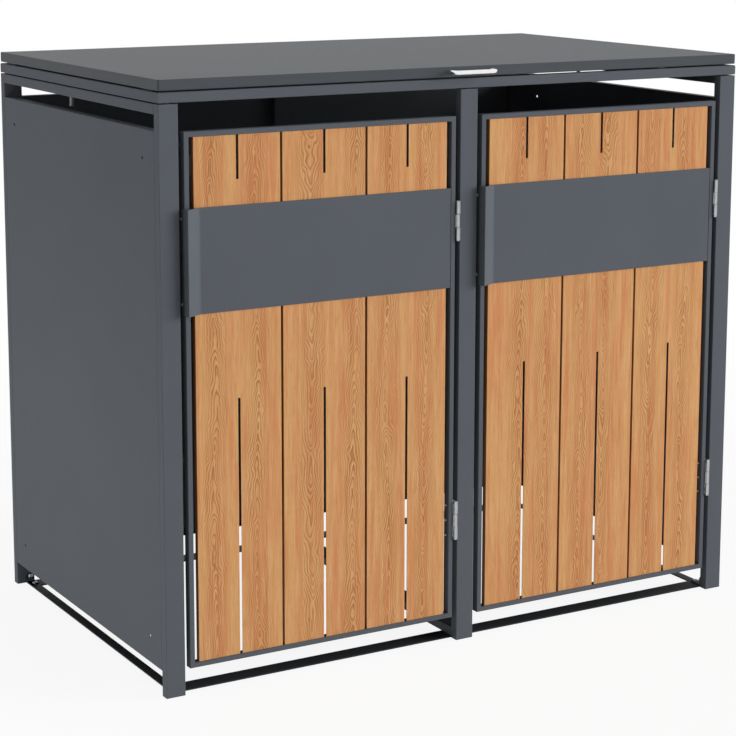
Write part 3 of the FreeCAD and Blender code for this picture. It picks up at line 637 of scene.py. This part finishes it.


# a strip on the ground, folded up against its post at the outer end
def makeBracket(name, low, high):
    deselectAll()
    foot = Vector(((low.x + high.x) / 2, (low.y + high.y) / 2, low.z))
    bpy.ops.mesh.primitive_plane_add(size=1, location=foot)
    bpy.context.object.scale = (high.x - low.x, high.y - low.y, 1)
    piece = nameNew(name)
    openEdit(piece)
    fold = low.y if low.y < 0 else high.y
    pick("EDGE", lambda edge: abs(spot(edge).y - fold) < near)
    extrude(0, 0, high.z - low.z)
    turnOutwards()
    pick("EDGE", lambda edge: runsAlong(edge, "x") and abs(spot(edge).y - fold) < near
         and abs(spot(edge).z - low.z) < near)
    bevelEdges(baseSettings["bracketBend"])
    pick("VERT", lambda vert: vert.is_boundary and len(vert.link_edges) == 2
         and (abs(vert.co.z - high.z) < near or abs(abs(vert.co.y - fold) - (high.y - low.y)) < near))
    bpy.ops.mesh.bevel(offset=baseSettings["bracketCorner"], segments=3, affect="VERTICES")
    closeEdit()
    thicken(piece, baseSettings["bracketSheet"], piece.data.polygons[0].normal.z >= 0)
    softenEdges(piece, baseSettings["bracketEdge"])
    openEdit(piece, "FACE")
    turnOutwards()
    closeEdit()
    shadePiece(piece)
    return piece


dressSolids("base_brackets", "carcass", "frame_paint", framePaint, makeBracket)
print("base made")


# sheet panels, folded on four sides

panelSettings = {"sheet": 0.0015, "bend": 0.0018, "edge": 0.0003, "holeRadius": 0.003, "holeInset": 0.055,
                 "holeStart": 0.006, "holeStraight": 0.0056, "holeFlare": 0.0014}


def makePanel(name, low, high, axis, outSense):
    piece = startBlock(name, low, high)
    openEdit(piece, "FACE")
    pick("FACE", lambda face: looks(face, axis, -outSense))
    bpy.ops.mesh.delete(type="FACE")
    front = (high if outSense > 0 else low)[axisNumber[axis]]
    pick("EDGE", lambda edge: abs(spot(edge)[axisNumber[axis]] - front) < near)
    bevelEdges(panelSettings["bend"])
    closeEdit()
    thicken(piece, panelSettings["sheet"])
    softenEdges(piece, panelSettings["edge"], limit=50)
    if axis == "x":  # only the side panels have fixing holes
        inset, radius, flare = (panelSettings[key] for key in ("holeInset", "holeRadius", "holeFlare"))
        drills = []
        for y in (low.y + inset, high.y - inset):
            for z in (low.z + inset, high.z - inset):
                drills.append(turnedPiece("drill", (front - outSense * panelSettings["holeStart"], y, z),
                                          (outSense, 0, 0), [(0, radius), (panelSettings["holeStraight"], radius),
                                                             (flare, radius + flare)]))
        cutAway(piece, drills)
    shadePiece(piece, 35)
    return piece


for node, axis, outSense in (("side_panel_left", "x", -1), ("side_panel_right", "x", 1),
                             ("back_panel_left", "y", 1), ("back_panel_right", "y", 1)):
    low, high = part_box(node)
    panel = makePanel(camelName(node), low, high, axis, outSense)
    dress(panel, "carcass", "panel_paint", panelPaint, node)
print("panels made")


# doors: frame, boards, battens and grip band

doorSettings = {"boardEdge": 0.0006, "slotWidth": 0.005, "upperSlot": 0.085, "lowerSlot": 0.514, "slotLand": 0.001,
                "slotSplay": 0.012, "sawOver": 0.01, "battenEdge": 0.0006, "bandSheet": 0.002, "bandBend": 0.0035,
                "bandEdge": 0.0004, "gripFlare": 0.032, "gripReach": 0.018, "gripBend": 0.0025}
boardLooks = {  # each board's own figure: two spines of arches, as (offset, slope)
    "left_door_board_left": {"shift": (0.518, 0.397, 0), "ringWidth": 0.0044,
                             "spines": ((-0.055, 0.120), (0.038, 0.130))},
    "left_door_board_middle": {"shift": (0.330, 0.397, 2), "ringWidth": 0.0047,
                               "spines": ((-0.030, -0.125), (0.062, 0.135))},
    "left_door_board_right": {"shift": (0.142, 0.397, 4), "ringWidth": 0.0042,
                              "spines": ((-0.046, 0.118), (0.044, -0.140))},
    "right_door_board_left": {"shift": (-0.142, 0.397, 6), "ringWidth": 0.0045,
                              "spines": ((-0.010, 0.132), (0.050, 0.116))},
    "right_door_board_middle": {"shift": (-0.330, 0.397, 8), "ringWidth": 0.0043,
                                "spines": ((-0.044, 0.122), (0.016, -0.138))},
    "right_door_board_right": {"shift": (-0.518, 0.397, 10), "ringWidth": 0.0047,
                               "spines": ((-0.050, -0.120), (0.036, 0.128))},
}


# cuts a slot through a board from one height to another, opening out towards the board's back
def makeSaw(board, fromZ, toZ):
    low, high = board
    half, over = doorSettings["slotWidth"] / 2, doorSettings["sawOver"]
    middle = Vector(((low.x + high.x) / 2, high.y + over, (fromZ + toZ) / 2))
    saw = startBlock("saw", (middle.x - half, low.y - over, fromZ), (middle.x + half, middle.y, toZ))
    openEdit(saw)
    takeAll()
    land = low.y + doorSettings["slotLand"]
    bpy.ops.mesh.bisect(plane_co=(0, land, 0), plane_no=(0, 1, 0))
    pick("FACE", lambda face: looks(face, "y", 1))
    depth = high.y - land
    wide = doorSettings["slotSplay"] * (depth + over) / depth
    bpy.ops.transform.resize(value=((half + wide) / half, 1, 1), center_override=middle)
    closeEdit()
    return saw


def makeBoard(name, low, high):
    board = startBlock(name, low, high)
    over = doorSettings["sawOver"]
    cutAway(board, [makeSaw((low, high), high.z - doorSettings["upperSlot"], high.z + over)])
    cutAway(board, [makeSaw((low, high), low.z - over, low.z + doorSettings["lowerSlot"])])
    softenEdges(board, doorSettings["boardEdge"], 3)
    shadePiece(board)
    return board


def makeBatten(name, low, high):
    batten = startBlock(name, low, high)
    softenEdges(batten, doorSettings["battenEdge"])
    shadePiece(batten)
    return batten


# flat over the boards, out to a grip ridge at the free side, and back along the stile
def makeBand(name, low, high):
    reach, flare = doorSettings["gripReach"], doorSettings["gripFlare"]
    flatY = low.y + reach
    ridgeX = low.x + flare
    deselectAll()
    bpy.ops.mesh.primitive_plane_add(size=1, location=((ridgeX + high.x) / 2, flatY, (low.z + high.z) / 2),
                                     rotation=(math.radians(90), 0, 0))
    bpy.context.object.scale = (high.x - ridgeX, high.z - low.z, 1)
    piece = nameNew(name)
    openEdit(piece)
    pick("EDGE", lambda edge: abs(spot(edge).x - ridgeX) < near)
    extrude(-flare, -reach, 0)
    extrude(0, high.y - low.y, 0)
    for x, y, bend in ((ridgeX, flatY, doorSettings["bandBend"]), (low.x, low.y, doorSettings["gripBend"])):
        pick("EDGE", lambda edge: runsAlong(edge, "z") and abs(spot(edge).x - x) < near
             and abs(spot(edge).y - y) < near)
        bevelEdges(bend, 5)
    closeEdit()
    flat = next(face for face in piece.data.polygons if abs(face.normal.y) > 0.999)
    thicken(piece, doorSettings["bandSheet"], flat.normal.y >= 0)
    openEdit(piece, "FACE")
    turnOutwards()
    closeEdit()
    softenEdges(piece, doorSettings["bandEdge"], limit=60)
    shadePiece(piece, 35)
    return piece


for side in ("left", "right"):
    door = side + "_door"
    for node, inwards in ((door + "_stile_left", (1, "x")), (door + "_stile_right", (-1, "x"))):
        low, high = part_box(node)
        bar = mitredTube(camelName(node), low, high, "z", tubeSettings["doorRound"], inwards)
        dress(bar, door, "frame_paint", framePaint, node)
    middleZ = (low.z + high.z) / 2
    dressSolids(door + "_rails", door, "frame_paint", framePaint, lambda name, low, high: mitredTube(
        name, low, high, "x", tubeSettings["doorRound"], (1 if low.z < middleZ else -1, "z")))
    for place in ("left", "middle", "right"):
        node = door + "_board_" + place
        low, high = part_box(node)
        wood = boardWood(camelName(node) + "Wood", boardLooks[node])
        dress(makeBoard(camelName(node), low, high), door, "board_wood", wood, node)
    dressSolids(door + "_battens", door, "frame_paint", framePaint, makeBatten)
    low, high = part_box(door + "_band")
    dress(makeBand(camelName(door + "_band"), low, high), door, "panel_paint", panelPaint, door + "_band")
print("doors made")


# lid: folded tray, stiffening tubes, guide pins and bow handle

lidSettings = {"sheet": 0.0015, "lip": 0.012, "corner": 0.0035, "edge": 0.002, "ribRound": 0.002,
               "guideRadius": 0.0045, "collar": 0.0012, "collarNeck": 0.0008,
               "guideTip": ((0.0028, 0.0055), (0.0006, 0.0052), (0.0006, 0.0041)),  # steps as (way on, radius)
               "handleRadius": 0.0045, "handleBend": 0.008, "handleWidth": 0.104}


def makeTray(name, low, high):
    lip = lidSettings["lip"]
    tray = startBlock(name, low, high)
    openEdit(tray, "FACE")
    pick("FACE", lambda face: looks(face, "z", -1))
    bpy.ops.mesh.inset(thickness=lip)
    bpy.ops.mesh.delete(type="FACE")
    pick("EDGE", lambda edge: runsAlong(edge, "z"))
    bevelEdges(lidSettings["corner"], 5)

    def onRim(edge):  # level, and not the inner edge of the lip
        place = spot(edge)
        withinX = low.x + lip / 2 < place.x < high.x - lip / 2
        withinY = low.y + lip / 2 < place.y < high.y - lip / 2
        return abs(edge.verts[0].co.z - edge.verts[1].co.z) < near and not (withinX and withinY)

    pick("EDGE", lambda edge: onRim(edge) and edge.calc_face_angle(0) > math.radians(80))
    bevelEdges(lidSettings["edge"])
    closeEdit()
    thicken(tray, lidSettings["sheet"])
    shadePiece(tray, 35)
    return tray


# a plain rod with a flat collar at the top and a slightly wider tip
def makeGuide(name, low, high):
    radius, collar, neck = (lidSettings[key] for key in ("guideRadius", "collar", "collarNeck"))
    rod = high.z - low.z - collar - neck - sum(advance for advance, _ in lidSettings["guideTip"])
    middle = (low + high) / 2
    return turnedPiece(name, (middle.x, middle.y, high.z), (0, 0, -1),
                       [(0, radius + collar), (collar, radius + collar), (neck, radius), (rod, radius),
                        *lidSettings["guideTip"]], 28)


def makeHandle(name, low, high):
    radius, bend = lidSettings["handleRadius"], lidSettings["handleBend"]
    levels = (low.z + high.z) / 2
    barY = low.y + radius
    lastX = lidSettings["handleWidth"] / 2 - radius
    deselectAll()
    bpy.ops.mesh.primitive_circle_add(vertices=28, radius=radius, fill_type="NGON",
                                      location=(-lastX, high.y, levels), rotation=(math.radians(90), 0, 0))
    piece = nameNew(name)
    openEdit(piece, "FACE")
    takeAll()
    leg = high.y - barY - bend
    corner = {"steps": 9, "angle": -math.radians(90), "axis": (0, 0, 1)}
    extrude(0, -leg, 0)
    bpy.ops.mesh.spin(center=(bend - lastX, barY + bend, levels), **corner)
    extrude(2 * (lastX - bend), 0, 0)
    bpy.ops.mesh.spin(center=(lastX - bend, barY + bend, levels), **corner)
    extrude(0, leg, 0)
    takeAll()
    bpy.ops.mesh.remove_doubles(threshold=weld)
    turnOutwards()
    closeEdit()
    shadePiece(piece, 60)
    return piece


low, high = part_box("lid_tray")
dress(makeTray("lidTray", low, high), "lid", "lid_paint", lidPaint, "lid_tray")
dressSolids("lid_ribs", "lid", "frame_paint", framePaint,
            lambda name, low, high: openTube(name, low, high, "y", lidSettings["ribRound"]))
dressSolids("lid_guide_pins", "lid", "hinge_steel", guideSteel, makeGuide, 40)
low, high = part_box("lid_handle")
dress(makeHandle("lidHandle", low, high), "lid", "handle_chrome", handleChrome, "lid_handle")
print("lid made")


# hinges: leaves with rolled knuckles, and pins with domed heads

hingeSettings = {"length": 0.080, "play": 0.0005, "knuckleRadius": 0.004, "chamfer": 0.0005, "leafSheet": 0.002,
                 "leafCorner": 0.0025, "leafEdge": 0.0003, "doorPlate": 0.014, "doorNeck": 0.003,
                 "lidPlate": 0.015, "lidNeck": 0.0135, "pinRadius": 0.002, "capRadius": 0.0035, "capHeight": 0.0015,
                 "dome": ((0.0, 0.35), (0.25, 0.75), (0.35, 1.0), (0.4, 1.0))}  # as parts of height and radius
sheet, knuckle, doorPlate, doorNeck, lidPlate, lidNeck = (hingeSettings[key] for key in (
    "leafSheet", "knuckleRadius", "doorPlate", "doorNeck", "lidPlate", "lidNeck"))
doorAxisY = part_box("door_hinge_pins")[0].y + hingeSettings["capRadius"]
lidPinLow, lidPinHigh, _ = solidBoxes("lid_hinge_pins")[0]
lidAxisY, lidAxisZ = (lidPinLow.y + lidPinHigh.y) / 2, (lidPinLow.z + lidPinHigh.z) / 2


# where the three knuckles of a hinge start and end
def knuckleSpans():
    play = hingeSettings["play"]
    piece = (hingeSettings["length"] - 2 * play) / 3
    return [(number * (piece + play), number * (piece + play) + piece) for number in range(3)]


def makeLeaf(name, plateLow, plateHigh, alongAxis, pinPoint, spans, neckLow, neckHigh):
    radius, chamfer = hingeSettings["knuckleRadius"], hingeSettings["chamfer"]
    number = axisNumber[alongAxis]
    thinAxis = min("xyz", key=lambda axis: (plateHigh - plateLow)[axisNumber[axis]])
    plate = startBlock("plate", plateLow, plateHigh)
    openEdit(plate)
    pick("EDGE", lambda edge: runsAlong(edge, thinAxis))
    bevelEdges(hingeSettings["leafCorner"])
    closeEdit()
    softenEdges(plate, hingeSettings["leafEdge"])
    parts = [plate]
    for start, end in spans:
        first = Vector(pinPoint)
        first[number] = plateLow[number] + start
        parts.append(turnedPiece("knuckle", first, unit[alongAxis], [
            (0, radius - chamfer), (chamfer, radius), (end - start - 2 * chamfer, radius),
            (chamfer, radius - chamfer)], 28))
        low, high = Vector(neckLow), Vector(neckHigh)
        low[number], high[number] = plateLow[number] + start, plateLow[number] + end
        neck = startBlock("neck", low, high)
        softenEdges(neck, hingeSettings["leafEdge"])
        parts.append(neck)
    piece = joinPieces(name, parts)
    shadePiece(piece, 35)
    return piece


def makePin(name, low, high, axis):
    radius, cap, tall, dome = (hingeSettings[key] for key in ("pinRadius", "capRadius", "capHeight", "dome"))
    start = (low + high) / 2
    start[axisNumber[axis]] = low[axisNumber[axis]]
    steps = [(tall * rise, cap * out) for rise, out in dome]
    steps += [(shoulder, radius), (hingeSettings["length"], radius), (shoulder, cap)]
    steps += [(tall * dome[k][0], cap * dome[k - 1][1]) for k in (3, 2, 1)]
    return turnedPiece(name, start, unit[axis], steps)


firstSpan, middleSpan, lastSpan = knuckleSpans()


def postLeaf(name, low, high):
    return makeLeaf(name, Vector((high.x - sheet, high.y - doorPlate, low.z)), high, "z",
                    (low.x + knuckle, doorAxisY, 0), (firstSpan, lastSpan),
                    (high.x - doorNeck, doorAxisY, 0), (high.x, high.y - doorPlate, 0))


def doorLeaf(name, low, high):
    return makeLeaf(name, Vector((low.x, high.y - doorPlate, low.z)), Vector((low.x + sheet, high.y, high.z)), "z",
                    (high.x - knuckle, doorAxisY, 0), (middleSpan,),
                    (low.x, doorAxisY, 0), (low.x + doorNeck, high.y - doorPlate, 0))


def ringLeaf(name, low, high):
    return makeLeaf(name, low, Vector((high.x, low.y + sheet, low.z + lidPlate)), "x",
                    (0, lidAxisY, lidAxisZ), (firstSpan, lastSpan),
                    (0, low.y, low.z + lidNeck), (0, low.y + sheet, lidAxisZ))


def lidLeaf(name, low, high):
    return makeLeaf(name, Vector((low.x, low.y, high.z - lidPlate)), Vector((high.x, low.y + sheet, high.z)), "x",
                    (0, lidAxisY, lidAxisZ), (middleSpan,),
                    (0, low.y, lidAxisZ), (0, low.y + sheet, high.z - lidNeck))


def doorPin(name, low, high):
    return makePin(name, low, high, "z")


def lidPin(name, low, high):
    return makePin(name, low, high, "x")


for node, body, build, smoothAngle in (("door_hinge_post_leaves", "carcass", postLeaf, None),
                                       ("left_door_hinge_leaves", "left_door", doorLeaf, None),
                                       ("right_door_hinge_leaves", "right_door", doorLeaf, None),
                                       ("door_hinge_pins", "carcass", doorPin, 40),
                                       ("lid_hinge_ring_leaves", "carcass", ringLeaf, None),
                                       ("lid_hinge_leaves", "lid", lidLeaf, None),
                                       ("lid_hinge_pins", "carcass", lidPin, 40)):
    dressSolids(node, body, "hinge_steel", hingeSteel, build, smoothAngle)
print("hinges made")


# screws: one pan head with a cross recess, copied to every place

screwSettings = {"shank": 0.002, "shankLength": 0.004, "tipLength": 0.0005, "tipPart": 0.6, "head": 0.004,
                 "headHeight": 0.0018, "underPart": 0.96, "recess": 0.0009, "armLength": 0.0046, "armWidth": 0.0009,
                 "armTaper": 0.55, "bladeOver": 0.001, "firstTurn": 0.35, "nextTurn": 0.7,
                 "dome": ((0.25, 1.0), (0.25, 0.965), (0.22, 0.86), (0.18, 0.66), (0.1, 0.36))}


def makeMasterScrew():
    shank, length, tip, head, height = (screwSettings[key] for key in (
        "shank", "shankLength", "tipLength", "head", "headHeight"))
    steps = [(0, shank * screwSettings["tipPart"]), (tip, shank), (length - tip, shank),
             (shoulder, head * screwSettings["underPart"])]
    steps += [(height * rise, head * out) for rise, out in screwSettings["dome"]]
    screw = turnedPiece("panHead", (0, 0, -length), (0, 0, 1), steps)
    arm, width, taper = screwSettings["armLength"] / 2, screwSettings["armWidth"] / 2, screwSettings["armTaper"]
    blades = []
    for x, y in ((arm, width), (width, arm)):
        blade = startBlock("blade", (-x, -y, height - screwSettings["recess"]),
                           (x, y, height + screwSettings["bladeOver"]))
        openEdit(blade, "FACE")
        pick("FACE", lambda face: looks(face, "z", -1))
        bpy.ops.transform.resize(value=(taper, taper, 1), center_override=(0, 0, 0))
        closeEdit()
        blades.append(blade)
    for blade in blades:
        cutAway(screw, [blade])
    shadePiece(screw, 40)
    return screw


# each solid tells its axis, the side of its head and its sizes; the copy is turned and stretched to them
def placeScrews(node, body, master):
    copies = []
    for low, high, points in solidBoxes(node):
        size = high - low
        along = min(range(3), key=lambda k: abs(size[(k + 1) % 3] - size[(k + 2) % 3]))
        middle = (low + high) / 2
        a, b = [k for k in range(3) if k != along]
        radial = [(math.hypot(point[a] - middle[a], point[b] - middle[b]), point[along]) for point in points]
        headRadius = max(reach for reach, _ in radial)
        ends = [level for reach, level in radial if reach > headRadius * 0.97]
        outward = 1 if max(ends) > high[along] - near else -1
        headHeight = max(ends) - min(ends)
        face = Vector(middle)
        face[along] = (high[along] - headHeight) if outward > 0 else (low[along] + headHeight)
        way = Vector((0, 0, 0))
        way[along] = outward
        turn = way.to_track_quat("Z", "Y").to_matrix().to_4x4()
        twist = Matrix.Rotation(screwSettings["firstTurn"] + screwSettings["nextTurn"] * len(copies), 4, "Z")
        wider, taller = headRadius / screwSettings["head"], headHeight / screwSettings["headHeight"]
        copy = copyPiece(master, "screw" + str(len(copies)), Matrix.Diagonal((wider, wider, taller, 1)))
        longer = (size[along] - headHeight) / (screwSettings["shankLength"] * taller)
        for vert in copy.data.vertices:
            if vert.co.z < -weld:
                vert.co.z *= longer
        copy.data.transform(Matrix.Translation(face) @ turn @ twist)
        copies.append(copy)
    dress(joinPieces(camelName(node), copies), body, "screw_steel", screwSteel, node)


masterScrew = makeMasterScrew()
for node, body in (("frame_screws", "carcass"), ("left_door_screws", "left_door"),
                   ("right_door_screws", "right_door"), ("lid_screws", "lid")):
    placeScrews(node, body, masterScrew)
bpy.data.objects.remove(masterScrew)
print("screws made")


# stops, magnets and rubber pads

smallSettings = {"stopCorner": 0.003, "stopEdge": 0.0004, "padEdge": 0.0004, "padGroove": 0.0012, "padDepth": 0.0007,
                 "magnet": ((0, 0.005), (0.0012, 0.005), (0.0003, 0.0047), (0, 0.0041), (-0.0005, 0.0040),
                            (0, 0.0034), (0.0004, 0.0033))}  # steps as (way on, radius), with a ring groove


def makeStop(name, low, high):
    stop = startBlock(name, low, high)
    openEdit(stop)
    pick("EDGE", lambda edge: runsAlong(edge, "y"))
    bevelEdges(smallSettings["stopCorner"])
    closeEdit()
    softenEdges(stop, smallSettings["stopEdge"])
    shadePiece(stop)
    return stop


def makeMagnet(name, low, high):
    middle = (low + high) / 2
    return turnedPiece(name, (middle.x, high.y, middle.z), (0, -1, 0), smallSettings["magnet"], 32)


def makePad(name, low, high):
    pad = startBlock(name, low, high)
    openEdit(pad, "FACE")
    pick("FACE", lambda face: looks(face, "z", 1))
    bpy.ops.mesh.inset(thickness=smallSettings["padGroove"])
    bpy.ops.mesh.inset(thickness=smallSettings["padGroove"], depth=-smallSettings["padDepth"])
    closeEdit()
    softenEdges(pad, smallSettings["padEdge"])
    shadePiece(pad)
    return pad


dressSolids("door_stops", "carcass", "frame_paint", framePaint, makeStop)
dressSolids("catch_magnets", "carcass", "screw_steel", screwSteel, makeMagnet, 40)
dressSolids("lid_bumpers", "carcass", "black_rubber", blackRubber, makePad)

for node in ("post_plugs", "ring_washers"):  # the CAD shapes stay, with a better material; the black of the ring washers also paints the shadow line under the ring
    nodes[node].data.materials.clear()
    nodes[node].data.materials.append(blackPlasticAndShadowLine)
deselectAll()
print("all pieces dressed")
